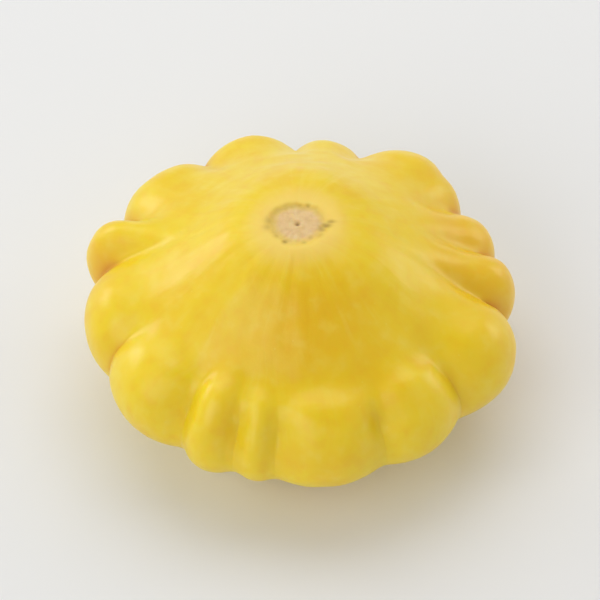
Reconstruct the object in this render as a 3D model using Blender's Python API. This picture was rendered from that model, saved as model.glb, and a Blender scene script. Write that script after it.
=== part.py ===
"""Baby pattypan squash: one grown, scalloped fruit with the trimmed end of its stalk.

Metres, +Z up. The fruit's own axis is +Z, the domed blossom side is up, and the fruit stands on
the shoulders round its stalk. The origin is under the middle of the fruit, on what it rests on.
"""

from math import atan2, cos, hypot, pi, radians, sin, sqrt

import bmesh
import bpy
from mathutils import Matrix, Vector
from mathutils.geometry import interpolate_bezier

# ---- driving dimensions -------------------------------------------------------------------
DIAMETER = 0.054  # across the lobes at their widest
R = DIAMETER / 2  # every other size of the fruit is a share of this
DOME_HEIGHT = 0.59 * R  # blossom scar above the rim's level
BOWL_DEPTH = 0.52 * R  # resting shoulders below the rim's level
STEM_GAP = 0.0003  # clearance between the stalk and the dimple it grew from

# The lobes in order round the fruit, counter-clockwise from above: (width in degrees, reach of
# the tip, depth of the crease before it), the last two as shares of R. They are uneven, as grown.
LOBES = (
    (28.5, 1.00, 0.095),
    (32.0, 1.02, 0.080),
    (18.0, 1.05, 0.070),
    (31.5, 1.01, 0.065),
    (30.5, 1.02, 0.062),
    (16.5, 0.99, 0.095),
    (14.2, 0.95, 0.085),
    (30.7, 0.99, 0.095),
    (26.8, 0.97, 0.105),
    (34.8, 1.03, 0.095),
    (20.0, 0.98, 0.105),
    (19.5, 0.96, 0.105),
    (37.0, 1.02, 0.100),
    (20.0, 0.97, 0.095),
)
FIRST_CREASE_DEG = 92.0  # where the first lobe starts, from +X
LOBE_ROUNDNESS = 0.80  # 1 makes each lobe a half circle in plan, 0 a flat parabola
COLUMNS_PER_LOBE = 6

# The profile through a lobe, as shares of R from the axis and from the rim's level.
PIT_RADIUS, PIT_DEPTH = 0.020, 0.014  # where the flower's style fell off
SCAR_RADIUS = 0.135  # the corky disc the flower left
GROOVE_WIDTH, GROOVE_DEPTH = 0.022, 0.012  # the fine groove round that disc
DOME_TURN = (0.62, 0.300)  # the steepest place on the dome
DOME_TURN_SLOPE = 0.86
RIM_RADIUS = 0.25  # vertical rounding of a lobe
RIM_HEIGHT = -0.03  # middle of that rounding
CROWN_DEG, UNDER_DEG = 74.0, -56.0  # the rounding runs between these normals
SHOULDER_OUTER, SHOULDER_INNER = 0.37, 0.25  # the level ring that the fruit rests on
DIMPLE_RADIUS, DIMPLE_DEPTH = 0.175, 0.17  # where the stalk sits

# The dome is faintly three-sided, one low ridge over each seed chamber.
DOME_RIDGES, DOME_RIDGE_DEG, DOME_RIDGE_HEIGHT = 3, 90.0, 0.022
DOME_RIDGE_RADIUS, DOME_RIDGE_SPREAD = 0.45, 0.30

# Where creases fade out, as shares of R from the axis.
CREASE_START_TOP, CREASE_FULL_TOP = 0.60, 0.95
CREASE_START_UNDER, CREASE_FULL_UNDER = 0.42, 0.90

# The stalk: five ribs, cut square just inside the shoulders.
STEM_RIBS = 5
STEM_FOOT_RADIUS = 0.0043  # where it flares into the fruit
STEM_NECK_RADIUS = 0.0033  # at the cut
STEM_FURROW = 0.10  # depth between two ribs, as a share of the radius
STEM_CUT_ABOVE_REST = 0.0005  # the cut face clears what the fruit rests on
STEM_CUT_BEVEL = 0.0003
STEM_SIDES = 40

SKIN_YELLOW = (0.76, 0.53, 0.06, 1.0)
STALK_GREEN = (0.26, 0.31, 0.07, 1.0)


def clear_scene():
    for old in list(bpy.data.objects):
        bpy.data.objects.remove(old, do_unlink=True)


def plain_material(name, colour, roughness):
    material = bpy.data.materials.new(name)
    material.use_nodes = True
    shader = material.node_tree.nodes["Principled BSDF"]
    shader.inputs["Base Color"].default_value = colour
    shader.inputs["Roughness"].default_value = roughness
    shader.inputs["Metallic"].default_value = 0.0
    return material


def smooth_step(start, full, value):
    t = min(max((value - start) / (full - start), 0.0), 1.0)
    return t * t * (3.0 - 2.0 * t)


def bezier(start, start_way, end, end_way, pull, count):
    """Points on one curve between two ends, each with its direction of travel."""
    reach = pull * hypot(end[0] - start[0], end[1] - start[1])
    first = Vector((*start, 0.0))
    last = Vector((*end, 0.0))
    out = Vector((*start_way, 0.0)).normalized() * reach
    back = Vector((*end_way, 0.0)).normalized() * reach
    curve = interpolate_bezier(first, first + out, last - back, last, count)
    return [(p.x, p.y) for p in curve]


def rim_arc(count):
    """The round edge of a lobe, from its crown to its underside."""
    middle = 1.0 - RIM_RADIUS
    points = []
    for i in range(count):
        turn = radians(CROWN_DEG + (UNDER_DEG - CROWN_DEG) * i / (count - 1))
        points.append((middle + RIM_RADIUS * cos(turn), RIM_HEIGHT + RIM_RADIUS * sin(turn)))
    return points


def lobe_profile():
    """The fruit's outline through a lobe, from the blossom scar to the stalk, as shares of R."""
    top = DOME_HEIGHT / R
    rest = -BOWL_DEPTH / R
    scar = [
        (0.0, top - PIT_DEPTH),
        (PIT_RADIUS, top),
        (SCAR_RADIUS - GROOVE_WIDTH, top),
        (SCAR_RADIUS, top - GROOVE_DEPTH),
    ]
    rim = rim_arc(10)
    crown_way = (sin(radians(CROWN_DEG)), -cos(radians(CROWN_DEG)))
    under_way = (sin(radians(UNDER_DEG)), -cos(radians(UNDER_DEG)))
    dome_edge = (SCAR_RADIUS + GROOVE_WIDTH, top - 0.004)
    turn_way = (1.0, -DOME_TURN_SLOPE)
    dome = bezier(dome_edge, (1.0, -0.10), DOME_TURN, turn_way, 0.36, 8)
    flare = bezier(DOME_TURN, turn_way, rim[0], crown_way, 0.36, 5)
    bowl = bezier(rim[-1], under_way, (SHOULDER_OUTER, rest), (-1.0, 0.0), 0.36, 7)
    dimple_top = rest + DIMPLE_DEPTH
    shoulder_in = (SHOULDER_INNER, rest)
    wall = (DIMPLE_RADIUS + 0.012, rest + 0.6 * DIMPLE_DEPTH)
    dimple = bezier(shoulder_in, (-1.0, 0.0), wall, (-0.25, 1.0), 0.4, 4)
    floor = [(DIMPLE_RADIUS - 0.01, dimple_top), (0.0, dimple_top)]
    return scar + dome + flare[1:] + rim[1:] + bowl[1:] + dimple + floor


def outward(points, i):
    """The direction in which the profile faces at its point i."""
    before = points[max(i - 1, 0)]
    after = points[min(i + 1, len(points) - 1)]
    along = (after[0] - before[0], after[1] - before[1])
    length = hypot(*along)
    return (-along[1] / length, along[0] / length)


def crease_strength(points, i):
    """How far a crease reaches the profile's point i: 1 at the rim, 0 on the dome and the bowl."""
    radius, height = points[i]
    if height > RIM_HEIGHT:
        return smooth_step(CREASE_START_TOP, CREASE_FULL_TOP, radius)
    return smooth_step(CREASE_START_UNDER, CREASE_FULL_UNDER, radius)


def lobe_bulge(across):
    """How full a lobe stands at -1..1 across it: 0 in its creases, 1 in its middle."""
    edge = sqrt(1.0 - LOBE_ROUNDNESS**2)
    return (sqrt(1.0 - (LOBE_ROUNDNESS * across) ** 2) - edge) / (1.0 - edge)


def columns():
    """(angle, press) for each column round the fruit. Press is how far it stands in from a
    plain round rim, as a share of R."""
    found = []
    start = FIRST_CREASE_DEG
    for lobe, (width, reach, crease) in enumerate(LOBES):
        next_crease = LOBES[(lobe + 1) % len(LOBES)][2]
        for step in range(COLUMNS_PER_LOBE):
            share = step / COLUMNS_PER_LOBE
            full = lobe_bulge(2.0 * share - 1.0)
            valley = crease * (1.0 - share) + next_crease * share
            press = valley * (1.0 - full) + (1.0 - reach) * full
            found.append((radians(start + width * share), press))
        start += width
    return found


def dome_ridge(radius, height, angle):
    """How far the dome stands proud of a round one there, as a share of R."""
    if height < RIM_HEIGHT:
        return 0.0
    place = max(0.0, 1.0 - ((radius - DOME_RIDGE_RADIUS) / DOME_RIDGE_SPREAD) ** 2)
    wave = cos(DOME_RIDGES * (angle - radians(DOME_RIDGE_DEG)))
    return 0.5 * DOME_RIDGE_HEIGHT * wave * place**2


def turned(points, steps):
    """A closed body turned from an outline about +Z, with each vertex's outline point as a layer."""
    body = bmesh.new()
    ring = body.verts.layers.int.new("ring")
    line = []
    for i, (radius, height) in enumerate(points):
        vertex = body.verts.new((radius, 0.0, height))
        vertex[ring] = i
        line.append(vertex)
    edges = [body.edges.new(pair) for pair in zip(line, line[1:])]
    bmesh.ops.spin(
        body,
        geom=line + edges,
        cent=(0.0, 0.0, 0.0),
        axis=(0.0, 0.0, 1.0),
        angle=2.0 * pi,
        steps=steps,
        use_merge=True,
    )
    bmesh.ops.remove_doubles(body, verts=body.verts[:], dist=1e-7)
    bmesh.ops.recalc_face_normals(body, faces=body.faces[:])
    return body, ring


def press_lobes(body, ring, points):
    """Moves the turned body's columns to the lobes' places and presses the creases in."""
    places = columns()
    for vertex in body.verts:
        radius, height = points[vertex[ring]]
        if radius == 0.0:
            vertex.co = (0.0, 0.0, height * R)
            continue
        column = round(atan2(vertex.co.y, vertex.co.x) / (2.0 * pi) * len(places))
        angle, press = places[column % len(places)]
        face = outward(points, vertex[ring])
        depth = press * crease_strength(points, vertex[ring])
        depth -= dome_ridge(radius, height, angle)
        radius -= face[0] * depth
        height -= face[1] * depth
        vertex.co = (radius * cos(angle) * R, radius * sin(angle) * R, height * R)


def new_object(name, body, material):
    mesh = bpy.data.meshes.new(name)
    body.to_mesh(mesh)
    body.free()
    mesh.materials.append(material)
    mesh.shade_smooth()
    made = bpy.data.objects.new(name, mesh)
    bpy.context.scene.collection.objects.link(made)
    return made


def build_fruit():
    points = lobe_profile()
    body, ring = turned(points, len(LOBES) * COLUMNS_PER_LOBE)
    press_lobes(body, ring, points)
    return new_object("fruit", body, plain_material("squash_skin", SKIN_YELLOW, 0.38))


def build_stem_stub():
    """The ribbed stub, from the cut face up to its flared foot under the dimple's floor."""
    cut = -BOWL_DEPTH + STEM_CUT_ABOVE_REST
    foot = -BOWL_DEPTH + DIMPLE_DEPTH * R - STEM_GAP
    height = foot - cut
    outline = [
        (0.0, cut),
        (STEM_NECK_RADIUS - STEM_CUT_BEVEL, cut),
        (STEM_NECK_RADIUS, cut + STEM_CUT_BEVEL),
        (STEM_NECK_RADIUS * 1.02, cut + 0.45 * height),
        ((STEM_NECK_RADIUS + STEM_FOOT_RADIUS) / 2, cut + 0.8 * height),
        (STEM_FOOT_RADIUS, foot),
        (0.0, foot),
    ]
    body, _ = turned(outline, STEM_SIDES)
    for vertex in body.verts:
        angle = atan2(vertex.co.y, vertex.co.x)
        ribbed = 1.0 - STEM_FURROW * (0.5 - 0.5 * cos(STEM_RIBS * angle))
        vertex.co.x *= ribbed
        vertex.co.y *= ribbed
    return new_object("stem_stub", body, plain_material("green_stalk", STALK_GREEN, 0.6))


def stand_on_floor(fruit, others):
    """Puts the middle of the fruit's box over the origin and its shoulders on z = 0."""
    corners = [vertex.co for vertex in fruit.data.vertices]
    low = [min(c[axis] for c in corners) for axis in range(3)]
    high = [max(c[axis] for c in corners) for axis in range(3)]
    shift = Matrix.Translation((-(low[0] + high[0]) / 2, -(low[1] + high[1]) / 2, -low[2]))
    for made in (fruit, *others):
        made.data.transform(shift)


clear_scene()
fruit = build_fruit()
stem_stub = build_stem_stub()
stand_on_floor(fruit, [stem_stub])
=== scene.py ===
"""Studio scene of one baby pattypan squash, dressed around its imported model.

The fruit stands level on a plain pale floor with its blossom end up. Everything is in metres, in
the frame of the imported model: +Z is the fruit's own axis, and the camera stands on the -Y side.
"""

from __future__ import annotations

import logging
from dataclasses import dataclass
from enum import Enum
from math import atan2, cos, hypot, pi, radians, sin

import bmesh
import bpy
import numpy as np
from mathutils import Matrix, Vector, noise
from mathutils.geometry import interpolate_bezier


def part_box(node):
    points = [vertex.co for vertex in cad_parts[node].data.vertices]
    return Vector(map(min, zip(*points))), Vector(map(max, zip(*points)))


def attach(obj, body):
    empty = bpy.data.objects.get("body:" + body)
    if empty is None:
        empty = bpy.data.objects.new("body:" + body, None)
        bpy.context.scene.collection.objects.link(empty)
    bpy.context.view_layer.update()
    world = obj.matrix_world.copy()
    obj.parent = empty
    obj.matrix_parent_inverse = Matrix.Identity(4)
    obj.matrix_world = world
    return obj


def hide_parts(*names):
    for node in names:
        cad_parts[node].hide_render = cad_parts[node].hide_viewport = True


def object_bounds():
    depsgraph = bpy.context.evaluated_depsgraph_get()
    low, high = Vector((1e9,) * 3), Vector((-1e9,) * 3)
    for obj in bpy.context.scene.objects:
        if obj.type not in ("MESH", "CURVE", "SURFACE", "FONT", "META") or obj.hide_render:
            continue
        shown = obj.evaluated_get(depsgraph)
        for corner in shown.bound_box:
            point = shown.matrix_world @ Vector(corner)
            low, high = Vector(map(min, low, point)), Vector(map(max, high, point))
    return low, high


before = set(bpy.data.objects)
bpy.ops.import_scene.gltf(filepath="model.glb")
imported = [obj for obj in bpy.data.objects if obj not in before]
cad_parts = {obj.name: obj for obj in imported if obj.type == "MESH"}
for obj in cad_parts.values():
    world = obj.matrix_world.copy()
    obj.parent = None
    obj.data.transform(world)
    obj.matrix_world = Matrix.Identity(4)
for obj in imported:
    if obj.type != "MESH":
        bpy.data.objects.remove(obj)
CAD_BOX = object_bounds()

log = logging.getLogger("pattypan")

# Short names for the types used throughout.
Array = np.ndarray
Tree = bpy.types.NodeTree
Socket = bpy.types.NodeSocket
Material = bpy.types.Material
Mesh = bpy.types.Mesh
Piece = bpy.types.Object

MM = 0.001  # one millimetre in the scene's metres
MIX_A, MIX_B, MIX_RESULT = 6, 7, 2  # the colour sockets of a Mix node
HANDLE = 0.36  # how far a smooth curve's handles reach, as a share of its chord
WELD = 1e-7  # points of a turned mesh that are nearer than this become one


class Slot(Enum):
    """Two material slot names, skin and stalk, which nothing here uses."""

    SKIN = "skin"
    STALK = "stalk"


class Mark(Enum):
    """What the fruit's and the stalk's vertices carry for their finishes, each from 0 to 1."""

    CREASE = "crease"  # in the line between two lobes: its orange is partly the skin's own deeper tone, partly painted shade
    CORK = "cork"  # on the scar that the flower left
    NICK = "nick"  # in the dark nicks round that scar and its middle, and on its far edge: partly a dried rim, partly painted shade
    HALO = "halo"  # paler round that scar
    BLUSH = "blush"  # painted shade: deeper gold where the dome faces the camera and on lobes at either side
    STEM_SIDE = "stem_side"  # near the stalk
    CUT = "cut"  # on the stalk's cut face
    RIB = "rib"  # on a rib of the stalk


# The marks that the fruit's skin reads. The other two are the stalk's.
FRUIT_MARKS = (Mark.CREASE, Mark.CORK, Mark.NICK, Mark.HALO, Mark.BLUSH, Mark.STEM_SIDE)


# ---- small tools --------------------------------------------------------------------------


def linear(hex_colour: str) -> tuple[float, float, float, float]:
    """Turns an sRGB colour into the linear one that shaders use.

    Args:
        hex_colour: six hex digits, such as "F0C83C".

    Returns:
        Red, green, blue and an alpha of 1.
    """
    shares = [int(hex_colour[i : i + 2], 16) / 255 for i in (0, 2, 4)]
    channels = [s / 12.92 if s <= 0.04045 else ((s + 0.055) / 1.055) ** 2.4 for s in shares]
    return (*channels, 1.0)


def add_node(
    tree: Tree,
    kind: str,
    settings: dict[str, object] | None = None,
    inputs: dict[int | str, object] | None = None,
) -> bpy.types.Node:
    """Adds one node with its settings and links.

    Args:
        tree: the node tree to add it to.
        kind: the node's type, such as "ShaderNodeMath".
        settings: the node's own properties by name.
        inputs: values by input name or number. An output socket is linked, anything else is set.

    Returns:
        The new node.
    """
    made = tree.nodes.new(kind)
    for name, value in (settings or {}).items():
        setattr(made, name, value)
    for name, value in (inputs or {}).items():
        if isinstance(value, Socket):
            tree.links.new(value, made.inputs[name])
        else:
            made.inputs[name].default_value = value
    return made


def smooth_step(start: float | Array, full: float | Array, value: Array) -> Array:
    """Rises smoothly from 0 at start to 1 at full.

    Args:
        start: where the rise begins.
        full: where it ends. It may lie below start, for a fall.
        value: the numbers to map.

    Returns:
        The mapped numbers.
    """
    t = np.clip((value - start) / (full - start), 0.0, 1.0)
    return t * t * (3.0 - 2.0 * t)


def rounded_lobe(across: float, valley: float) -> float:
    """A lobe's cross-section, with a broad crest and a rounded valley on either side.

    Args:
        across: from -1 to 1, the two creases, with the lobe's middle at 0.
        valley: how much of each half is valley, from 0 to 1.

    Returns:
        1 at the lobe's middle and 0 in the creases.
    """
    join = 1.0 - valley
    floor = 1.0 - join**2 - join * valley
    away = abs(across)
    if away < join:
        return (1.0 - away**2 - floor) / (1.0 - floor)
    return join / valley * (1.0 - away) ** 2 / (1.0 - floor)


def lumps(places: Array, size: float, seed: float) -> Array:
    """Smooth natural unevenness.

    Args:
        places: one row of x, y, z for each point.
        size: width of a typical lump, in the same unit.
        seed: shifts the pattern, so that two calls differ.

    Returns:
        A number from about -1 to 1 for each point.
    """
    shifted = places / size + seed
    return np.array([noise.noise(Vector(place)) for place in shifted])


def bezier(
    start: tuple[float, float],
    start_way: tuple[float, float],
    end: tuple[float, float],
    end_way: tuple[float, float],
    count: int,
) -> list[tuple[float, float]]:
    """Points on one smooth curve between two ends.

    Args:
        start: its first point.
        start_way: the direction in which it leaves that point.
        end: its last point.
        end_way: the direction in which it arrives there.
        count: how many points to give, both ends included.

    Returns:
        The points in order.
    """
    pull = HANDLE * hypot(end[0] - start[0], end[1] - start[1])
    first, last = Vector((*start, 0.0)), Vector((*end, 0.0))
    out = Vector((*start_way, 0.0)).normalized() * pull
    back = Vector((*end_way, 0.0)).normalized() * pull
    return [(p.x, p.y) for p in interpolate_bezier(first, first + out, last - back, last, count)]


def column_at(place: Vector, columns: int) -> float:
    """Counts in columns how far round +Z a place lies, to the nearest quarter of a column."""
    quarters = round(4 * columns * atan2(place.y, place.x) / (2.0 * pi))
    return quarters % (4 * columns) / 4


def turned_mesh(name: str, outline: list[tuple[float, float]], columns: int) -> Mesh:
    """Turns an outline about +Z into a closed mesh.

    Args:
        name: the mesh's name.
        outline: (radius, height) points from pole to pole.
        columns: how many steps the full turn takes.

    Returns:
        The mesh. Its integer attribute "ring" holds each vertex's place in the outline.
    """
    body = bmesh.new()
    ring = body.verts.layers.int.new("ring")
    line = []
    for i, (radius, height) in enumerate(outline):
        vertex = body.verts.new((radius, 0.0, height))
        vertex[ring] = i
        line.append(vertex)
    edges = [body.edges.new(pair) for pair in zip(line, line[1:])]
    bmesh.ops.spin(
        body,
        geom=line + edges,
        cent=(0.0, 0.0, 0.0),
        axis=(0.0, 0.0, 1.0),
        angle=2.0 * pi,
        steps=columns,
        use_merge=True,
    )
    bmesh.ops.remove_doubles(body, verts=body.verts[:], dist=WELD)
    bmesh.ops.recalc_face_normals(body, faces=body.faces[:])
    # The operators leave an order that changes from run to run, so it is set here.
    body.verts.sort(key=lambda v: v[ring] * columns + column_at(v.co, columns))
    body.faces.sort(
        key=lambda f: min(v[ring] for v in f.verts) * columns
        + column_at(f.calc_center_median(), columns)
    )
    mesh = bpy.data.meshes.new(name)
    body.to_mesh(mesh)
    body.free()
    mesh.shade_smooth()
    return mesh


def places_of(mesh: Mesh, what: str = "co") -> Array:
    """Reads a vector from every vertex.

    Args:
        mesh: the mesh to read.
        what: "co" for the vertices' positions, "normal" for their normals.

    Returns:
        One row of x, y, z for each vertex.
    """
    found = np.empty(len(mesh.vertices) * 3)
    mesh.vertices.foreach_get(what, found)
    return found.reshape(-1, 3)


def move_to(mesh: Mesh, places: Array) -> None:
    """Moves the mesh's vertices to these places, one row for each."""
    mesh.vertices.foreach_set("co", places.ravel())
    mesh.update()


def write_mark(mesh: Mesh, mark: Mark, values: Array) -> None:
    """Stores one number from 0 to 1 for each vertex, for the mesh's finish to read."""
    attribute = mesh.attributes.new(mark.value, "FLOAT", "POINT")
    attribute.data.foreach_set("value", np.clip(values, 0.0, 1.0).astype(np.float32))


def show(mesh: Mesh, material: Material, node: str) -> Piece:
    """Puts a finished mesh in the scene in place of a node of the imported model.

    Args:
        mesh: the finished mesh, already in place.
        material: its finish.
        node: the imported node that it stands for.

    Returns:
        The new piece.
    """
    mesh.materials.append(material)
    piece = bpy.data.objects.new(mesh.name, mesh)
    bpy.context.scene.collection.objects.link(piece)
    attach(piece, "root")
    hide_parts(node)
    return piece


# ---- finishes -----------------------------------------------------------------------------


class Cloud(Enum):
    """The soft cloudy patterns in the skin: their width in millimetres and their detail."""

    PATCH = (8.0, 2.0)  # broad patches of deeper yellow
    MOTTLE = (2.2, 2.0)  # small paler and deeper flecks
    BLOOM = (2.5, 3.0)  # where the wax is duller
    PEEL = (0.55, 2.0)  # the faint orange-peel of the cuticle
    CORK_BLOTCH = (0.90, 4.0)  # darker blotches on the scar
    CORK_GRAIN = (0.30, 5.0)  # and its finest grain


@dataclass(frozen=True)
class Dots:
    """Round dots scattered in the skin, each in a cell of its own."""

    spacing_mm: float
    solid: float  # radius of a dot's solid middle, as a share of the spacing
    edge: float  # radius where it has faded out
    share: float  # how many of the cells hold a dot, from 0 to 1

    def mask(self, tree: Tree, mm: Socket) -> Socket:
        """Draws the dots.

        Args:
            tree: the material's node tree.
            mm: coordinates in millimetres.

        Returns:
            1 on a dot and 0 elsewhere.
        """
        cells = add_node(
            tree, "ShaderNodeTexVoronoi", inputs={"Vector": mm, "Scale": 1.0 / self.spacing_mm}
        )
        dot = add_node(
            tree,
            "ShaderNodeMapRange",
            {"interpolation_type": "SMOOTHSTEP"},
            {"Value": cells.outputs["Distance"], 1: self.edge, 2: self.solid, 3: 0.0, 4: 1.0},
        ).outputs[0]
        draw = add_node(
            tree, "ShaderNodeSeparateColor", inputs={0: cells.outputs["Color"]}
        ).outputs["Red"]
        kept = add_node(
            tree, "ShaderNodeMath", {"operation": "LESS_THAN"}, {0: draw, 1: self.share}
        ).outputs[0]
        return add_node(
            tree, "ShaderNodeMath", {"operation": "MULTIPLY"}, {0: dot, 1: kept}
        ).outputs[0]


@dataclass(frozen=True)
class SkinPatterns:
    """What the skin's colour, gloss and relief are drawn from, each a node's output."""

    streak: Socket
    pore: Socket
    scuff: Socket
    marks: dict[Mark, Socket]
    clouds: dict[Cloud, Socket]


@dataclass(frozen=True)
class SquashSkin:
    """Fresh summer squash skin, grown and unwashed: a thin waxy cuticle over firm moist flesh.

    It gives the eye a soft satin sheen over a colour that light gets into: lemon, with painted
    shade in deeper gold where the dome faces the camera and on lobes at either side, orange in
    the creases that is partly the skin's own deeper tone and partly painted shade, faint streaks
    that run from pole to pole, pale pores, and a tan corky scar where the flower sat.
    """

    lemon: str = "EED11E"
    pale: str = "F4DF66"
    golden: str = "EAB312"
    halo: str = "F0D070"
    crease_orange_and_shade: str = "D68A06"
    stem_side_green: str = "CDBE48"
    cork: str = "E6C690"
    cork_dark: str = "B98E55"
    nick_and_edge_shade_brown: str = "95731A"
    scuff_brown: str = "A97C2C"
    streaks_per_radian: float = 10.0
    streaks_per_mm: float = 0.16  # how fast they change on the way from pole to pole
    stray_mm: float = 3.0  # how far a streak strays from its meridian
    strays_per_mm: float = 0.09
    pores: Dots = Dots(spacing_mm=1.7, solid=0.04, edge=0.11, share=0.35)
    scuffs: Dots = Dots(spacing_mm=6.0, solid=0.01, edge=0.06, share=0.20)
    streak_relief: float = 1.6  # how far streaks stand out of the orange-peel
    pore_relief: float = -0.5  # and pores sink into it
    skin_relief_strength: float = 0.5
    skin_relief_depth: float = 0.03 * MM
    cork_relief_depth: float = 0.10 * MM
    roughness: float = 0.31
    bloom_roughness: float = 0.08  # what duller wax adds
    cork_roughness: float = 0.85
    ior: float = 1.48
    subsurface_weight: float = 0.40
    subsurface_radius: tuple[float, float, float] = (1.0, 0.55, 0.12)
    subsurface_depth: float = 2.2 * MM

    def material(self, axis: Vector) -> Material:
        """Builds the skin.

        Args:
            axis: where the foot of the fruit's own axis stands.

        Returns:
            The material.
        """
        made = bpy.data.materials.new("waxy_squash_skin")
        made.use_nodes = True
        tree = made.node_tree
        shader = tree.nodes["Principled BSDF"]
        patterns = self._patterns(tree, axis)
        tree.links.new(self._colour(tree, patterns), shader.inputs["Base Color"])
        tree.links.new(self._roughness(tree, patterns), shader.inputs["Roughness"])
        tree.links.new(self._relief(tree, patterns), shader.inputs["Normal"])
        shader.inputs["IOR"].default_value = self.ior
        shader.inputs["Subsurface Weight"].default_value = self.subsurface_weight
        shader.inputs["Subsurface Radius"].default_value = self.subsurface_radius
        shader.inputs["Subsurface Scale"].default_value = self.subsurface_depth
        return made

    def _patterns(self, tree: Tree, axis: Vector) -> SkinPatterns:
        """Draws the patterns, in millimetres from the foot of the fruit's own axis.

        Args:
            tree: the material's node tree.
            axis: where that foot stands.

        Returns:
            The patterns.
        """
        place = add_node(tree, "ShaderNodeTexCoord").outputs["Object"]
        centred = add_node(
            tree, "ShaderNodeVectorMath", {"operation": "SUBTRACT"}, {0: place, 1: axis}
        ).outputs[0]
        mm = add_node(
            tree, "ShaderNodeVectorMath", {"operation": "SCALE"}, {0: centred, "Scale": 1.0 / MM}
        ).outputs[0]
        marks = {
            mark: add_node(
                tree, "ShaderNodeAttribute", {"attribute_name": mark.value}
            ).outputs["Fac"]
            for mark in FRUIT_MARKS
        }
        clouds = {
            cloud: add_node(
                tree,
                "ShaderNodeTexNoise",
                inputs={"Vector": mm, "Scale": 1.0 / cloud.value[0], "Detail": cloud.value[1]},
            ).outputs["Fac"]
            for cloud in Cloud
        }
        dots = (self.pores.mask(tree, mm), self.scuffs.mask(tree, mm))
        return SkinPatterns(self._streaks(tree, mm), *dots, marks, clouds)

    def _streaks(self, tree: Tree, mm: Socket) -> Socket:
        """Fine streaks that follow the meridians and wander a little.

        Args:
            tree: the material's node tree.
            mm: coordinates in millimetres.

        Returns:
            A smooth pattern from 0 to 1.
        """
        place = add_node(
            tree,
            "ShaderNodeTexNoise",
            inputs={"Vector": mm, "Scale": self.strays_per_mm, "Detail": 1.0},
        ).outputs["Color"]
        stray, fine = self.stray_mm, self.streaks_per_radian
        # The coordinates are bent, laid flat and wound round the axis.
        steps = (
            ("MULTIPLY_ADD", {1: (stray, stray, 0.0), 2: mm}),
            ("MULTIPLY", {1: (1.0, 1.0, 0.0)}),
            ("NORMALIZE", {}),
            ("MULTIPLY", {1: (fine, fine, 0.0)}),
        )
        for operation, inputs in steps:
            place = add_node(
                tree, "ShaderNodeVectorMath", {"operation": operation}, {0: place, **inputs}
            ).outputs[0]
        along = add_node(
            tree,
            "ShaderNodeVectorMath",
            {"operation": "MULTIPLY_ADD"},
            {0: mm, 1: (0.0, 0.0, self.streaks_per_mm), 2: place},
        ).outputs[0]
        return add_node(
            tree,
            "ShaderNodeTexNoise",
            inputs={"Vector": along, "Scale": 1.0, "Detail": 3.0, "Roughness": 0.6},
        ).outputs["Fac"]

    def _colour(self, tree: Tree, patterns: SkinPatterns) -> Socket:
        """Lemon with gold patches, painted gold shade, streaks, flecks, orange in the creases
        that is partly painted shade, and tan on the scar.

        Args:
            tree: the material's node tree.
            patterns: what the colour is drawn from.

        Returns:
            The colour.
        """
        marks, clouds = patterns.marks, patterns.clouds
        # Each row: a pattern, the values between which its tint grows, how strong, and the tint.
        layers = (
            (clouds[Cloud.PATCH], 0.42, 0.72, 0.30, self.golden),
            # painted shade: deeper gold where the dome faces the camera and on lobes at either side
            (marks[Mark.BLUSH], 0.0, 1.0, 0.70, self.golden),
            (patterns.streak, 0.50, 0.72, 0.16, self.golden),
            (patterns.streak, 0.46, 0.28, 0.16, self.pale),
            (clouds[Cloud.MOTTLE], 0.46, 0.80, 0.27, self.pale),
            (clouds[Cloud.MOTTLE], 0.50, 0.22, 0.28, self.golden),
            (patterns.pore, 0.0, 1.0, 0.22, self.pale),
            (marks[Mark.HALO], 0.0, 1.0, 0.55, self.halo),
            (marks[Mark.STEM_SIDE], 0.0, 1.0, 0.75, self.stem_side_green),
            # the creases' orange: partly the skin's own deeper tone, partly painted shade
            (marks[Mark.CREASE], 0.0, 1.0, 0.80, self.crease_orange_and_shade),
            (patterns.scuff, 0.0, 1.0, 0.30, self.scuff_brown),
        )
        colour = linear(self.lemon)
        for pattern, start, full, most, tint in layers:
            share = add_node(
                tree,
                "ShaderNodeMapRange",
                {"interpolation_type": "SMOOTHSTEP"},
                {"Value": pattern, 1: start, 2: full, 3: 0.0, 4: most},
            ).outputs[0]
            colour = add_node(
                tree,
                "ShaderNodeMix",
                {"data_type": "RGBA"},
                {0: share, MIX_A: colour, MIX_B: linear(tint)},
            ).outputs[MIX_RESULT]
        blotch = add_node(
            tree,
            "ShaderNodeMapRange",
            inputs={"Value": clouds[Cloud.CORK_BLOTCH], 1: 0.45, 2: 0.75, 3: 0.0, 4: 0.30},
        ).outputs[0]
        dry = add_node(
            tree,
            "ShaderNodeMix",
            {"data_type": "RGBA"},
            {0: blotch, MIX_A: linear(self.cork), MIX_B: linear(self.cork_dark)},
        ).outputs[MIX_RESULT]
        # over the cork: brown for the nicks, the pit, and the far edge's dried rim and painted
        # shade
        for mark, over in ((Mark.CORK, dry), (Mark.NICK, linear(self.nick_and_edge_shade_brown))):
            colour = add_node(
                tree,
                "ShaderNodeMix",
                {"data_type": "RGBA"},
                {0: marks[mark], MIX_A: colour, MIX_B: over},
            ).outputs[MIX_RESULT]
        return colour

    def _roughness(self, tree: Tree, patterns: SkinPatterns) -> Socket:
        """Satin where the wax is whole, a little duller in patches, and dry on the cork.

        Args:
            tree: the material's node tree.
            patterns: what the roughness is drawn from.

        Returns:
            The roughness.
        """
        bloom, dullest = patterns.clouds[Cloud.BLOOM], self.roughness + self.bloom_roughness
        waxy = add_node(
            tree,
            "ShaderNodeMapRange",
            inputs={"Value": bloom, 1: 0.3, 2: 0.7, 3: self.roughness, 4: dullest},
        ).outputs[0]
        return add_node(
            tree,
            "ShaderNodeMix",
            {"data_type": "FLOAT"},
            {0: patterns.marks[Mark.CORK], 2: waxy, 3: self.cork_roughness},
        ).outputs[0]

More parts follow.
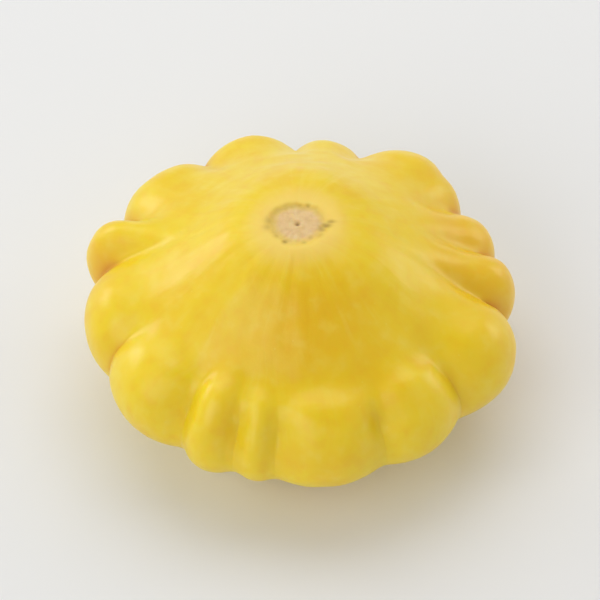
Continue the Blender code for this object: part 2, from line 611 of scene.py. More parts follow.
    def _relief(self, tree: Tree, patterns: SkinPatterns) -> Socket:
        """The finest relief: orange-peel, streaks and pores on the skin, and grain on the cork.

        Args:
            tree: the material's node tree.
            patterns: what the relief is drawn from.

        Returns:
            The bumped normal.
        """
        height = patterns.clouds[Cloud.PEEL]
        raised = ((patterns.streak, self.streak_relief), (patterns.pore, self.pore_relief))
        for pattern, rise in raised:
            height = add_node(
                tree,
                "ShaderNodeMath",
                {"operation": "MULTIPLY_ADD"},
                {0: pattern, 1: rise, 2: height},
            ).outputs[0]
        smooth = add_node(
            tree,
            "ShaderNodeBump",
            inputs={
                "Strength": self.skin_relief_strength,
                "Distance": self.skin_relief_depth,
                "Height": height,
            },
        ).outputs[0]
        return add_node(
            tree,
            "ShaderNodeBump",
            inputs={
                "Strength": patterns.marks[Mark.CORK],
                "Distance": self.cork_relief_depth,
                "Height": patterns.clouds[Cloud.CORK_GRAIN],
                "Normal": smooth,
            },
        ).outputs[0]


@dataclass(frozen=True)
class GreenStalk:
    """Cut squash stalk: a ribbed green rind round pale, fibrous, drying pith.

    It gives the eye a dull green that is paler along the ribs, with fine fibres, and a cream
    cut face that has browned at its edge.
    """

    green: str = "6F7A2C"
    rib_green: str = "9AA04C"
    cut_cream: str = "D3C793"
    cut_brown: str = "8F7A45"
    fibre_mm: float = 0.35  # how wide a fibre is
    fibre_stretch: float = 0.2  # how wide it is for its length
    browned: float = 0.7  # how far the brownest fibres of the cut face have turned
    relief_strength: float = 0.8
    relief_depth: float = 0.12 * MM
    roughness: float = 0.62

    def material(self) -> Material:
        """Builds the stalk's finish.

        Returns:
            The material.
        """
        made = bpy.data.materials.new("cut_green_stalk")
        made.use_nodes = True
        tree = made.node_tree
        shader = tree.nodes["Principled BSDF"]
        place = add_node(tree, "ShaderNodeTexCoord").outputs["Object"]
        stretched = add_node(
            tree,
            "ShaderNodeVectorMath",
            {"operation": "MULTIPLY"},
            {0: place, 1: (1.0 / MM, 1.0 / MM, self.fibre_stretch / MM)},
        ).outputs[0]
        fibres = add_node(
            tree,
            "ShaderNodeTexNoise",
            inputs={"Vector": stretched, "Scale": 1.0 / self.fibre_mm, "Detail": 4.0},
        ).outputs["Fac"]
        rib, cut = (
            add_node(tree, "ShaderNodeAttribute", {"attribute_name": mark.value}).outputs["Fac"]
            for mark in (Mark.RIB, Mark.CUT)
        )
        brown = add_node(
            tree,
            "ShaderNodeMapRange",
            inputs={"Value": fibres, 1: 0.45, 2: 0.70, 3: 0.0, 4: self.browned},
        ).outputs[0]
        layers = (
            (rib, linear(self.green), linear(self.rib_green)),
            (brown, linear(self.cut_cream), linear(self.cut_brown)),
        )
        rind, pith = (
            add_node(
                tree,
                "ShaderNodeMix",
                {"data_type": "RGBA"},
                {0: share, MIX_A: under, MIX_B: over},
            ).outputs[MIX_RESULT]
            for share, under, over in layers
        )
        colour = add_node(
            tree, "ShaderNodeMix", {"data_type": "RGBA"}, {0: cut, MIX_A: rind, MIX_B: pith}
        ).outputs[MIX_RESULT]
        tree.links.new(colour, shader.inputs["Base Color"])
        relief = add_node(
            tree,
            "ShaderNodeBump",
            inputs={
                "Strength": self.relief_strength,
                "Distance": self.relief_depth,
                "Height": fibres,
            },
        ).outputs[0]
        tree.links.new(relief, shader.inputs["Normal"])
        shader.inputs["Roughness"].default_value = self.roughness
        return made


@dataclass(frozen=True)
class StudioPaper:
    """Matt white background paper: it gives the eye an even pale ground and a soft shadow."""

    white: str = "EAECEE"
    roughness: float = 0.75
    gloss: float = 0.2

    def material(self) -> Material:
        """Builds the paper's finish.

        Returns:
            The material.
        """
        made = bpy.data.materials.new("studio_paper")
        made.use_nodes = True
        shader = made.node_tree.nodes["Principled BSDF"]
        shader.inputs["Base Color"].default_value = linear(self.white)
        shader.inputs["Roughness"].default_value = self.roughness
        shader.inputs["Specular IOR Level"].default_value = self.gloss
        return made


# ---- the fruit ----------------------------------------------------------------------------


@dataclass(frozen=True)
class Lobe:
    """One knob of the scalloped rim, and the crease before it. Shares are of the fruit's radius."""

    width_deg: float
    reach: float  # how far its tip stands from the axis
    crease: float  # depth of the crease before it
    start: float  # how near the axis that crease starts, on the dome
    knob: float  # how far its top stands proud
    fold: float = 0.0  # depth of a faint second fold down its face
    fold_at: float = 0.0  # where that fold lies, from -1 to 1 across it


@dataclass(frozen=True)
class PaintedShade:
    """Painted shade: a soft spot of deeper gold on the dome's camera side and side lobes."""

    turn_deg: float  # its middle, from +X
    spread_deg: float
    radius: float  # its distance from the axis, as a share of the fruit's radius
    spread: float
    strength: float


@dataclass(frozen=True)
class Nick:
    """A small dark tear at the scar's edge, where a petal or sepal came away."""

    turn_deg: float  # its place round the scar, from +X
    out: float  # its distance, as a share of the scar's radius
    length_mm: float  # along the radius
    width_mm: float  # round the scar
    dark: float


@dataclass(frozen=True)
class BlossomScar:
    """The dry corky disc that the fallen flower left, in millimetres."""

    middle: tuple[float, float] = (-0.55, -0.55)  # where it sits, off the fruit's axis
    radius_x: float = 3.35
    radius_y: float = 3.02
    waves: tuple[tuple[int, float, float], ...] = (  # round its outline: count, depth, phase
        (3, 0.04, 0.6),
        (7, 0.025, 2.1),
        (16, 0.015, 1.0),
    )
    groove_depth: float = 0.11
    groove_width: float = 0.40
    lip_out: float = 0.8  # the skin's swollen lip lies this far outside the groove
    lip_height: float = 0.09
    lip_width: float = 1.2
    lip_rise: tuple[float, float] = (-0.5, 0.3)  # distances out between which it swells
    pit_radius: float = 0.32
    pit_depth: float = 0.30
    pit_dark: float = 0.62
    collar_radius: float = 2.2  # of the low ring round the pit, as a share of the pit's radius
    collar_height: float = 0.05
    collar_width: float = 0.25
    cracks: int = 13
    crack_height: float = 0.03
    crack_start: tuple[float, float] = (0.30, 0.75)  # shares of the radius where cracks begin
    crack_end: tuple[float, float] = (1.02, 0.85)  # and where they run out
    dried_and_shaded_side_deg: float = 128.0  # its edge is darkest on this side: partly a dried rim, partly painted shade in the groove
    edge_dark: float = 0.34
    edge_in: float = 0.15  # this far inside its outline
    edge_width: float = 0.50
    cork_fades: tuple[tuple[float, float, float], ...] = (  # share of it, and where it fades
        (0.82, 0.98, 0.68),
        (0.18, 1.12, 0.90),
    )
    nick_depth: float = 0.12
    nick_dark: float = 0.85
    nicks: tuple[Nick, ...] = (
        Nick(-15.0, 0.92, 0.60, 0.50, 0.55),
        Nick(-4.0, 1.06, 0.62, 0.46, 0.82),
        Nick(4.0, 1.22, 0.55, 0.30, 0.66),
        Nick(-33.0, 1.00, 0.44, 0.52, 0.32),
        Nick(46.0, 1.02, 0.26, 0.50, 0.25),
        Nick(66.0, 1.02, 0.32, 0.34, 0.55),
        Nick(86.0, 0.98, 0.30, 0.46, 0.45),
        Nick(118.0, 1.02, 0.40, 0.80, 0.35),
        Nick(142.0, 1.00, 0.44, 0.70, 0.38),
        Nick(172.0, 1.06, 0.60, 0.75, 0.48),
        Nick(188.0, 1.12, 0.55, 0.60, 0.42),
        Nick(216.0, 0.99, 0.36, 0.42, 0.42),
        Nick(241.0, 1.04, 0.38, 0.36, 0.75),
        Nick(284.0, 1.02, 0.30, 0.36, 0.40),
        Nick(306.0, 0.86, 0.26, 0.34, 0.30),
    )

    def shape(self, x: Array, y: Array) -> tuple[Array, Array, Array]:
        """Works out the scar's relief and marks.

        Args:
            x: millimetres from the scar's middle towards +X.
            y: millimetres towards +Y.

        Returns:
            Height to add in millimetres, how corky the place is, and how dark it lies: in a nick,
            in the pit, and along the far edge, darkened partly as a dried rim, partly as painted
            shade.
        """
        angle = np.arctan2(y, x)
        wobble = 1.0
        for count, depth, phase in self.waves:
            wobble = wobble + depth * np.sin(count * angle + phase)
        share = np.hypot(x / self.radius_x, y / self.radius_y) / wobble
        out = (share - 1.0) * self.radius_x
        distance = np.hypot(x, y)
        groove = np.exp(-((out / self.groove_width) ** 2))
        lip = np.exp(-(((out - self.lip_out) / self.lip_width) ** 2))
        lip *= smooth_step(*self.lip_rise, out)
        pit = np.exp(-((distance / self.pit_radius) ** 2))
        collar_at = self.collar_radius * self.pit_radius
        collar = np.exp(-(((distance - collar_at) / self.collar_width) ** 2))
        cracks = np.sin(self.cracks * angle + 2.0 * np.sin(3 * angle) + 0.8 * distance)
        cracks *= smooth_step(*self.crack_start, share)
        cracks *= smooth_step(*self.crack_end, share)
        height = self.lip_height * lip - self.groove_depth * groove
        height += self.collar_height * collar - self.pit_depth * pit + self.crack_height * cracks
        nick = np.zeros_like(x)
        for torn in self.nicks:
            turn = radians(torn.turn_deg)
            reach = torn.out * hypot(self.radius_x * cos(turn), self.radius_y * sin(turn))
            along = (x * cos(turn) + y * sin(turn) - reach) / torn.length_mm
            across = (y * cos(turn) - x * sin(turn)) / torn.width_mm
            nick = np.maximum(nick, torn.dark * np.exp(-(along**2) - across**2))
        height -= self.nick_depth * nick
        # the far edge is darker, partly as a dried rim, partly as painted shade in the groove
        dried_and_shaded = 0.5 + 0.5 * np.cos(angle - radians(self.dried_and_shaded_side_deg))
        edge_line = np.exp(-(((out + self.edge_in) / self.edge_width) ** 2)) * dried_and_shaded
        cork = sum(part * smooth_step(gone, full, share) for part, gone, full in self.cork_fades)
        dark = np.maximum(self.nick_dark * nick, self.edge_dark * edge_line)
        return height, cork, np.maximum(dark, self.pit_dark * pit)


@dataclass(frozen=True)
class Flank:
    """The dome's slope on one side of the fruit, as shares of the fruit's radius."""

    turn: tuple[float, float]  # the steepest place
    slope: float  # how steep it is there
    crown_deg: float  # where the rim's rounding starts: past 90 the lobes rise from a hollow
    crispness: float  # how far creases narrow at the rim, where 1 is a sharp fold
    crisp_top: tuple[float, float]  # radii between which they do so
    valley_full: float  # radius where the valley between two lobes is full, on the dome
    valley_low: tuple[float, float]  # heights between which that valley grows from nothing


@dataclass(frozen=True)
class Rings:
    """How many points each stretch of the fruit's outline takes, from one pole to the other."""

    scar: int = 37
    dome: int = 46
    flare: int = 20
    rim: int = 58
    bowl: int = 34
    wall: int = 12
    dimple: int = 6


@dataclass
class Fruit:
    """The whole grown fruit: domed blossom side, scalloped rim, and bowl with its dimple.

    Lengths are shares of the radius unless a name says otherwise. The radius follows from the
    packed fruit's height.
    """

    dome_height: float = 0.59  # blossom scar above the rim's level
    bowl_depth: float = 0.52  # resting shoulders below it
    near: Flank = Flank(
        turn=(0.60, 0.320),
        slope=0.88,
        crown_deg=86.0,
        crispness=0.25,
        crisp_top=(0.68, 0.90),
        valley_full=0.96,
        valley_low=(-0.50, 0.16),
    )
    far: Flank = Flank(
        turn=(0.60, 0.337),
        slope=0.61,
        crown_deg=68.0,
        crispness=0.85,
        crisp_top=(0.80, 0.98),
        valley_full=0.95,
        valley_low=(-0.50, 0.02),
    )
    near_side: tuple[float, float] = (-0.10, -0.95)  # sines of where near begins and is whole
    rings: Rings = Rings()
    scar_flat: float = 0.15  # radius of the level top that holds the scar
    rim_radius: float = 0.25  # vertical rounding of a lobe
    rim_height: float = -0.03  # middle of that rounding
    under_deg: float = -56.0
    shoulder: tuple[float, float] = (0.37, 0.25)  # outer and inner edge of what it rests on
    dimple_radius: float = 0.175
    dimple_depth: float = 0.17
    dimple_wall: float = 0.6  # how much of that depth is wall, below the rounded ceiling
    dimple_ends: tuple[float, float] = (0.012, -0.03)  # where its wall and ceiling end, past it
    crisp_under: tuple[float, float] = (-0.40, -0.06)
    knob_radius: float = 0.78  # where a lobe's top stands highest, at its middle
    knob_bow: float = 0.13  # and how much further out that lies at its creases
    knob_spread: float = 0.13
    knob_rise: tuple[float, float] = (0.55, 0.75)  # radii between which knobs grow
    knob_valley: float = 0.2  # how far creases sink between knobs, as a share of their height
    ridges: int = 3  # low ridges, one over each seed chamber
    ridge_height: float = 0.022
    ridge_radius: float = 0.45
    ridge_spread: float = 0.30
    first_crease_deg: float = 92.0
    lobe_roundness: float = 0.80
    valley_deg: float = 2.9  # half width of a soft valley
    fold_width: float = 0.22  # of a lobe's second fold, where half a lobe is 1
    columns_per_lobe: int = 28  # of the mesh
    crease_crowding: float = 0.66  # draws columns towards the creases
    # orange along the creases, partly the skin's own tone and partly painted shade
    crease_tints_and_shade: tuple[tuple[float, float], ...] = ((0.45, 0.35), (0.55, 1.7))  # strength, mm
    near_crease_tint_and_shade: float = 0.5  # how much fainter that tone and painted shade are on the near side
    stem_side: tuple[float, float] = (0.62, 0.22)  # radii between which it greens, underneath
    halo_mm: tuple[float, float] = (8.5, 3.5)  # and those between which it is paler round the scar, on top
    body_mm: tuple[float, float] = (4.0, 8.0)  # those between which it grows uneven
    rim_mm: tuple[float, float] = (15.0, 23.0)  # those between which the dome becomes rim
    under_mm: tuple[float, float] = (0.0, -6.0)  # heights between which it grows even again
    under_even: float = 0.7  # and how even it is below them
    scar: BlossomScar = BlossomScar()
    # each spot is painted shade in deeper gold
    painted_shades: tuple[PaintedShade, ...] = (
        PaintedShade(-90.0, 48.0, 0.50, 0.24, 0.70),
        PaintedShade(12.0, 30.0, 0.90, 0.26, 0.48),
        PaintedShade(18.0, 50.0, 0.78, 0.32, 0.42),
        PaintedShade(171.0, 9.0, 1.00, 0.18, 0.70),
    )
    lobes: tuple[Lobe, ...] = (  # counter-clockwise from above
        Lobe(28.5, 1.00, 0.095, 0.62, 0.0),
        Lobe(32.0, 1.02, 0.080, 0.62, 0.0),
        Lobe(18.0, 1.05, 0.070, 0.66, 0.0),
        Lobe(31.5, 1.01, 0.065, 0.56, 0.0),
        Lobe(31.1, 1.02, 0.062, 0.64, 0.012),
        Lobe(17.1, 0.99, 0.105, 0.66, 0.028),
        Lobe(12.1, 0.95, 0.098, 0.73, 0.010),
        Lobe(32.2, 0.99, 0.105, 0.72, 0.023, fold=0.009, fold_at=-0.10),
        Lobe(27.4, 0.97, 0.112, 0.68, 0.020),
        Lobe(33.6, 1.03, 0.098, 0.63, 0.010),
        Lobe(20.0, 0.98, 0.105, 0.48, 0.0),
        Lobe(19.5, 0.96, 0.099, 0.50, 0.0),
        Lobe(37.0, 1.02, 0.100, 0.56, 0.0, fold=0.016, fold_at=-0.35),
        Lobe(20.0, 0.97, 0.095, 0.62, 0.0),
    )

    def build(self) -> Piece:
        """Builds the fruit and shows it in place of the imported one.

        Returns:
            The piece.
        """
        low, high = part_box("fruit")
        radius = (high.z - low.z) / (self.dome_height + self.bowl_depth)
        columns = len(self.lobes) * self.columns_per_lobe
        mesh = turned_mesh("grown_fruit", self._outline(self.near), columns)
        self._press_lobes(mesh, radius)
        self._swell(mesh)
        self._scar(mesh)
        axis = self._settle(mesh, (low + high) / 2, self.bowl_depth * radius)
        return show(mesh, SquashSkin().material(axis), "fruit")

    def _outline(self, flank: Flank) -> list[tuple[float, float]]:
        """The outline through a lobe, from the blossom end's pole to the dimple's.

        Args:
            flank: the slope that the dome has on this side.

        Returns:
            (radius, height) points, as many on every side.
        """
        top, rest = self.dome_height, -self.bowl_depth
        outer, inner = self.shoulder
        ceiling = rest + self.dimple_depth
        middle = 1.0 - self.rim_radius
        turns = np.radians(np.linspace(flank.crown_deg, self.under_deg, self.rings.rim))
        rim = [
            (middle + self.rim_radius * cos(t), self.rim_height + self.rim_radius * sin(t))
            for t in turns
        ]
        crown_way = (sin(turns[0]), -cos(turns[0]))
        under_way = (sin(turns[-1]), -cos(turns[-1]))
        turn_way = (1.0, -flank.slope)
        inwards, up_wall = (-1.0, 0.0), (-0.25, 1.0)
        wall_end, ceiling_end = self.dimple_ends
        wall_top = (self.dimple_radius + wall_end, rest + self.dimple_wall * self.dimple_depth)
        ceiling_edge = (self.dimple_radius + ceiling_end, ceiling)
        last = self.rings.scar - 1
        scar = [(self.scar_flat * i / last, top) for i in range(self.rings.scar)]
        dome = bezier(scar[-1], (1.0, -0.03), flank.turn, turn_way, self.rings.dome)
        flare = bezier(flank.turn, turn_way, rim[0], crown_way, self.rings.flare)
        bowl = bezier(rim[-1], under_way, (outer, rest), inwards, self.rings.bowl)
        shoulder = [(outer - (outer - inner) * i / 4, rest) for i in range(1, 4)]
        wall = bezier((inner, rest), inwards, wall_top, up_wall, self.rings.wall)
        dimple = bezier(wall_top, up_wall, ceiling_edge, (-1.0, 0.1), self.rings.dimple)
        pole = [(0.5 * self.dimple_radius, ceiling), (0.0, ceiling)]
        side = scar + dome[1:] + flare[1:] + rim[1:] + bowl[1:]
        return side + shoulder + wall + dimple[1:] + pole

    def _columns(self) -> tuple[Array, ...]:
        """Works out what the mesh's columns need, in shares of the fruit's radius.

        Returns:
            For each column, its angle, its press where creases are crisp, its press where they
            are soft, the radius where its creases start, its knob's height, its distance from
            the nearer crease in radians, and how far its lobe's top bows outwards, from 0 to 1.
        """
        rows = []
        start = self.first_crease_deg
        edge = np.sqrt(1.0 - self.lobe_roundness**2)
        for i, lobe in enumerate(self.lobes):
            after = self.lobes[(i + 1) % len(self.lobes)]
            valley_share = self.valley_deg / (0.5 * lobe.width_deg)
            low_knob = 0.5 * (self.lobes[i - 1].knob + lobe.knob)
            high_knob = 0.5 * (lobe.knob + after.knob)
            for step in range(self.columns_per_lobe):
                even = step / self.columns_per_lobe
                share = even - self.crease_crowding * sin(2 * pi * even) / (2 * pi)
                across = 2.0 * share - 1.0
                full = (np.sqrt(1.0 - (self.lobe_roundness * across) ** 2) - edge) / (1.0 - edge)
                soft = rounded_lobe(across, valley_share)
                ease = share * share * (3.0 - 2.0 * share)
                valley = lobe.crease * (1.0 - ease) + after.crease * ease
                begins = lobe.start * (1.0 - ease) + after.start * ease
                fold = lobe.fold * np.exp(-(((across - lobe.fold_at) / self.fold_width) ** 2))
                press = valley * (1.0 - full) + (1.0 - lobe.reach) * full + fold
                soft_press = valley * (1.0 - soft) + (1.0 - lobe.reach) * soft + fold
                from_crease = (0.5 - abs(share - 0.5)) * radians(lobe.width_deg)
                angle = radians(start + lobe.width_deg * share)
                between = low_knob * (1.0 - ease) + high_knob * ease
                knob = lobe.knob * soft - self.knob_valley * between
                rows.append((angle, press, soft_press, begins, knob, from_crease, across**2))
            start += lobe.width_deg
        return tuple(np.array(rows).T)

    def _rings(self, flank: Flank) -> Array:
        """Works out where the outline stands and faces on one side.

        Args:
            flank: the slope that the dome has on this side.

        Returns:
            One row for each ring: its radius, its height, and which way is outwards there.
        """
        points = np.array(self._outline(flank))
        along = np.gradient(points, axis=0)
        along /= np.linalg.norm(along, axis=1, keepdims=True)
        return np.hstack((points, -along[:, 1:], along[:, :1]))

    def _press_lobes(self, mesh: Mesh, size: float) -> None:
        """Shapes the turned body's flanks and presses the creases in between the lobes.

        Args:
            mesh: the turned body, with its "ring" attribute, which is used up.
            size: the fruit's radius in metres.
        """
        angle, press, soft_press, begins, knob, from_crease, bow = self._columns()
        ring = np.empty(len(mesh.vertices), np.int32)
        mesh.attributes["ring"].data.foreach_get("value", ring)
        mesh.attributes.remove(mesh.attributes["ring"])
        spun = places_of(mesh)
        turn = np.arctan2(spun[:, 1], spun[:, 0]) / (2.0 * pi)
        column = np.round(turn * len(angle)).astype(int) % len(angle)
        angle = angle[column]
        near_share = smooth_step(*self.near_side, np.sin(angle))
        sides = ((self.near, near_share), (self.far, 1.0 - near_share))
        mixed = sum(self._rings(flank)[ring] * part[:, None] for flank, part in sides)
        radius, height, out, up = mixed.T
        on_dome = height > self.rim_height
        full = sum(flank.valley_full * part for flank, part in sides)
        low = sum(smooth_step(*flank.valley_low, height) * part for flank, part in sides)
        valley = low * np.where(on_dome, smooth_step(begins[column], full, radius), 1.0)
        below = smooth_step(*self.crisp_under, height)
        crisp = np.zeros_like(radius)
        for flank, part in sides:
            top = smooth_step(*flank.crisp_top, radius)
            crisp += flank.crispness * part * np.where(on_dome, top, below)
        depth = valley * (crisp * press[column] + (1.0 - crisp) * soft_press[column])
        top_at = self.knob_radius + self.knob_bow * bow[column]
        bell = np.exp(-(((radius - top_at) / self.knob_spread) ** 2)) * on_dome
        bell = bell * smooth_step(*self.knob_rise, radius)
        depth = depth - knob[column] * bell * np.clip(up, 0, 1)
        place = np.clip(1.0 - ((radius - self.ridge_radius) / self.ridge_spread) ** 2, 0.0, 1.0)
        ridge = 0.5 * self.ridge_height * np.cos(self.ridges * (angle - pi / 2)) * place**2
        depth = depth - ridge * on_dome
        height = height - up * depth
        radius = np.where(radius > 0.0, radius - out * depth, 0.0)
        places = np.stack((radius * np.cos(angle), radius * np.sin(angle), height), 1)
        move_to(mesh, places * size)
        # the creases' orange, partly the skin's own tone and partly painted shade, fainter on the
        # near side
        line = from_crease[column] * radius * size / MM
        crease = sum(most * np.exp(-((line / wide) ** 2)) for most, wide in self.crease_tints_and_shade)
        fainter = 1.0 - self.near_crease_tint_and_shade * near_share
        write_mark(mesh, Mark.CREASE, crease * valley * crisp * fainter)
        plain = np.ones_like(radius)
        # painted shade in deeper gold, one soft spot at a time
        for spot in self.painted_shades:
            turned = (np.degrees(angle) - spot.turn_deg + 180.0) % 360.0 - 180.0
            off = (turned / spot.spread_deg) ** 2 + ((radius - spot.radius) / spot.spread) ** 2
            plain *= 1.0 - spot.strength * np.exp(-off)
        write_mark(mesh, Mark.BLUSH, 1.0 - plain)
        stem = smooth_step(*self.stem_side, radius) * (height < self.rim_height)
        write_mark(mesh, Mark.STEM_SIDE, stem)

    def _swell(self, mesh: Mesh) -> None:
        """Gives the fruit the unevenness of something grown.

        Args:
            mesh: the pressed fruit, round its own axis.
        """
        places = places_of(mesh)
        mm = places / MM
        height = mm[:, 2]
        radius = np.hypot(mm[:, 0], mm[:, 1])
        angle = np.arctan2(mm[:, 1], mm[:, 0])
        body = smooth_step(*self.body_mm, radius)
        rim = smooth_step(*self.rim_mm, radius)
        under = smooth_step(*self.under_mm, height)
        ribs = np.stack((np.cos(angle) * 9.0, np.sin(angle) * 9.0, 0.05 * height), 1)
        # Each row: the lumps' height and width in millimetres, their seed, what they follow and
        # where they show. The last row's lie along the meridians, nine to a radian.
        layers = (
            (0.35, 10.0, 3.1, mm, body),
            (0.13, 4.5, 17.7, mm, (0.5 + 0.5 * rim) * body),
            (0.055, 2.3, 41.3, mm, body),
            (0.012, 0.9, 27.1, mm, 1.0),
            (0.09, 1.0, 5.9, ribs, body * (1.0 - 0.6 * rim)),
        )
        swell = sum(
            tall * lumps(over, wide, seed) * part for tall, wide, seed, over, part in layers
        )
        swell *= 1.0 - self.under_even * under
        move_to(mesh, places + places_of(mesh, "normal") * (swell * MM)[:, None])

    def _scar(self, mesh: Mesh) -> None:
        """Cuts the blossom scar into the top of the dome.

        Args:
            mesh: the swollen fruit, round its own axis.
        """
        places = places_of(mesh)
        on_top = places[:, 2] > 0.0
        x, y = (places[:, :2] / MM - self.scar.middle).T
        height, cork, nick = self.scar.shape(x, y)
        places[:, 2] += height * MM * on_top
        move_to(mesh, places)
        write_mark(mesh, Mark.HALO, smooth_step(*self.halo_mm, np.hypot(x, y)) * on_top)
        write_mark(mesh, Mark.CORK, cork * on_top)
        write_mark(mesh, Mark.NICK, nick * on_top)

    def _settle(self, mesh: Mesh, middle: Vector, lift: float) -> Vector:
        """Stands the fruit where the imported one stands.

        Args:
            mesh: the finished fruit, still round its own axis.
            middle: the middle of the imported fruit's box.
            lift: how far its shoulders lie below its own zero, in metres.

        Returns:
            Where the foot of its axis now stands.
        """
        places = places_of(mesh)
        low, high = places.min(axis=0), places.max(axis=0)
        axis = Vector((middle.x - (low[0] + high[0]) / 2, middle.y - (low[1] + high[1]) / 2, 0.0))
        places += (axis.x, axis.y, lift)
        places[:, 2] = np.maximum(places[:, 2], 0.0)
        move_to(mesh, places)
        return axis


@dataclass
class StemStub:
    """The trimmed end of the stalk: five ribs that flare into the dimple, and a cut face."""

    ribs: int = 5
    furrow: float = 0.16  # depth between ribs, as a share of the radius
    neck: float = 0.80  # radius at the cut, as a share of the foot's
    face: float = 0.92  # radius of the cut face, as a share of the neck's
    face_dish: float = 0.10 * MM  # how far that face is hollowed by drying
    trimmed_edge: float = 0.3 * MM  # height of the edge round it
    uneven: tuple[tuple[float, float, float], ...] = (  # lumps' height and width in mm, and seed
        (0.10, 0.9, 8.8),
        (0.05, 0.4, 2.2),
    )
    rough_side: float = 0.25
    face_rings: int = 12
    side_rings: int = 26
    columns: int = 160

    def build(self) -> Piece:
        """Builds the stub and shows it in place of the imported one.

        Returns:
            The piece.
        """
        low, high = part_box("stem_stub")
        height = high.z - low.z
        foot = (high.y - low.y) / 2
        neck = self.neck * foot
        face = [
            (neck * self.face * share, low.z + self.face_dish * (1.0 - share))
            for share in np.linspace(0.0, 1.0, self.face_rings + 1)
        ]
        neck_edge = (neck, low.z + self.trimmed_edge)
        side = bezier(neck_edge, (0.05, 1.0), (foot, high.z), (0.9, 0.5), self.side_rings)
        top = [(foot * share, high.z) for share in (0.8, 0.5, 0.0)]
        mesh = turned_mesh("cut_stalk", face + side + top, self.columns)
        mesh.attributes.remove(mesh.attributes["ring"])
        places = places_of(mesh)
        angle = np.arctan2(places[:, 1], places[:, 0])
        rib = 0.5 + 0.5 * np.cos(self.ribs * angle)
        places[:, :2] *= (1.0 - self.furrow * (1.0 - rib) ** 1.5)[:, None]
        rough = sum(tall * lumps(places / MM, wide, seed) for tall, wide, seed in self.uneven)
        cut = smooth_step(0.35, 0.05, (places[:, 2] - low.z) / height)
        places[:, :2] *= (1.0 + self.rough_side * rough * (1.0 - cut))[:, None]
        places[:, 2] += np.where(cut > 0.5, np.abs(rough) * MM, 0.0)
        middle = (low + high) / 2
        places[:, :2] += (middle.x, middle.y)
        move_to(mesh, places)
        write_mark(mesh, Mark.CUT, cut)
        write_mark(mesh, Mark.RIB, rib**2)
        return show(mesh, GreenStalk().material(), "stem_stub")


# ---- the studio ---------------------------------------------------------------------------


@dataclass(frozen=True)
class SoftBox:
    """A large soft studio lamp, aimed at the fruit."""

    name: str
    way: tuple[float, float, float]  # from the fruit towards the lamp
    wide: float  # metres
    high: float
    distance: float
    radiance: float  # how bright its face is, where 1 is a fully lit white surface
    colour: str = "FFFFFF"

    def place(self, target: Vector) -> None:
        """Hangs the lamp.

        Args:
            target: the point that it is aimed at and hangs its distance from.
        """
        lamp = bpy.data.lights.new(self.name, "AREA")
        lamp.shape = "RECTANGLE"
        lamp.size = self.wide
        lamp.size_y = self.high
        lamp.energy = self.radiance * pi * self.wide * self.high
        lamp.color = linear(self.colour)[:3]
        holder = bpy.data.objects.new(self.name, lamp)
        holder.visible_camera = False
        way = Vector(self.way).normalized()
        holder.location = target + way * self.distance
        holder.rotation_euler = way.to_track_quat("Z", "Y").to_euler()
        bpy.context.scene.collection.objects.link(holder)


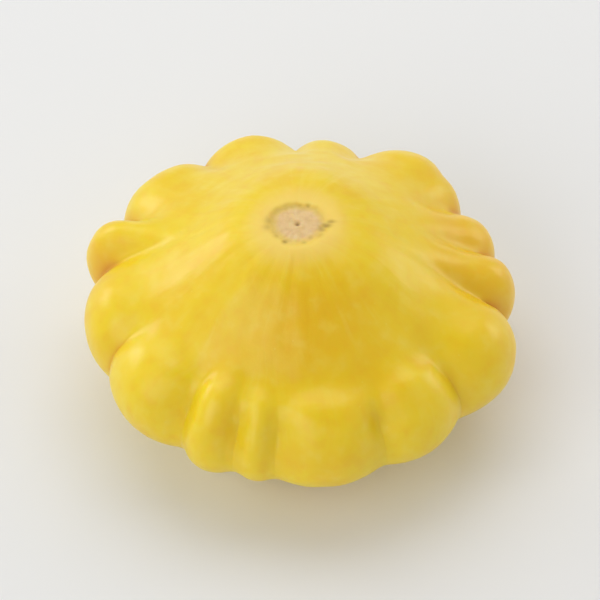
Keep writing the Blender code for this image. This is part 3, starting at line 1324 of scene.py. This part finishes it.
@dataclass
class Studio:
    """Floor, soft light and camera."""

    floor_radius: float = 3.0
    room_level: float = 0.58  # how bright the room is
    ceiling_level: float = 0.20  # and the dark stretch of ceiling above the camera
    ceiling_way: tuple[float, float, float] = (0.0, -0.37, 0.93)
    ceiling_edge: tuple[float, float] = (0.78, 0.96)  # cosines from there, outer and inner
    room_colour: str = "FFFBF7"
    camera_elevation_deg: float = 50.0
    camera_distance: float = 0.84
    sensor_width: float = 36.0  # millimetres
    view_width: float = 0.0745  # how wide a stretch the camera sees where the fruit stands
    lamps: tuple[SoftBox, ...] = (
        SoftBox("overhead", (-0.05, 0.48, 0.88), 1.10, 1.00, 1.0, 1.20),
        SoftBox("left", (-0.79, 0.54, 0.28), 0.40, 0.34, 1.0, 3.9, "F2FAFF"),
        SoftBox("front_left", (-0.54, -0.60, 0.59), 0.95, 0.70, 1.0, 1.58, "FFFDF8"),
        SoftBox("right", (0.85, 0.47, 0.26), 0.48, 0.40, 1.0, 2.6, "FFF6E8"),
    )

    def build(self) -> None:
        """Builds the studio round the fruit."""
        low, high = CAD_BOX
        target = (Vector(low) + Vector(high)) / 2
        self._floor()
        self._room()
        for lamp in self.lamps:
            lamp.place(target)
        self._camera(target)
        bpy.context.scene.view_settings.view_transform = "Standard"

    def _floor(self) -> None:
        """Lays the paper that the fruit stands on."""
        body = bmesh.new()
        bmesh.ops.create_circle(body, cap_ends=True, segments=96, radius=self.floor_radius)
        mesh = bpy.data.meshes.new("floor")
        body.to_mesh(mesh)
        body.free()
        mesh.materials.append(StudioPaper().material())
        floor = bpy.data.objects.new("floor", mesh)
        bpy.context.scene.collection.objects.link(floor)

    def _room(self) -> None:
        """Lights the room evenly, apart from a dark stretch of ceiling above the camera."""
        world = bpy.data.worlds.new("room")
        bpy.context.scene.world = world
        world.use_nodes = True
        tree = world.node_tree
        way = add_node(tree, "ShaderNodeTexCoord").outputs["Generated"]
        towards = add_node(
            tree,
            "ShaderNodeVectorMath",
            {"operation": "DOT_PRODUCT"},
            {0: way, 1: self.ceiling_way},
        ).outputs["Value"]
        outer, inner = self.ceiling_edge
        level = add_node(
            tree,
            "ShaderNodeMapRange",
            {"interpolation_type": "SMOOTHSTEP"},
            {"Value": towards, 1: outer, 2: inner, 3: self.room_level, 4: self.ceiling_level},
        ).outputs[0]
        tree.links.new(level, tree.nodes["Background"].inputs["Strength"])
        tree.nodes["Background"].inputs["Color"].default_value = linear(self.room_colour)

    def _camera(self, target: Vector) -> None:
        """Sets the camera on the -Y side, looking down on the dome through a long lens.

        Args:
            target: the point in the middle of its view.
        """
        lens = bpy.data.cameras.new("camera")
        lens.sensor_width = self.sensor_width
        lens.lens = lens.sensor_width * self.camera_distance / self.view_width
        holder = bpy.data.objects.new("camera", lens)
        rise = radians(self.camera_elevation_deg)
        back = Vector((0.0, -cos(rise), sin(rise)))
        holder.location = target + back * self.camera_distance
        holder.rotation_euler = back.to_track_quat("Z", "Y").to_euler()
        bpy.context.scene.collection.objects.link(holder)
        bpy.context.scene.camera = holder


def main() -> None:
    """Builds the fruit, its stalk and the studio."""
    logging.basicConfig(level=logging.INFO, format="%(name)s: %(message)s")
    for sub_assembly in (Fruit(), StemStub()):
        piece = sub_assembly.build()
        piece.data.calc_loop_triangles()
        log.info("%s: %d triangles", piece.name, len(piece.data.loop_triangles))
    studio = Studio()
    studio.build()
    log.info("studio: %d lamps, a floor and a camera", len(studio.lamps))


if __name__ == "__main__":
    main()
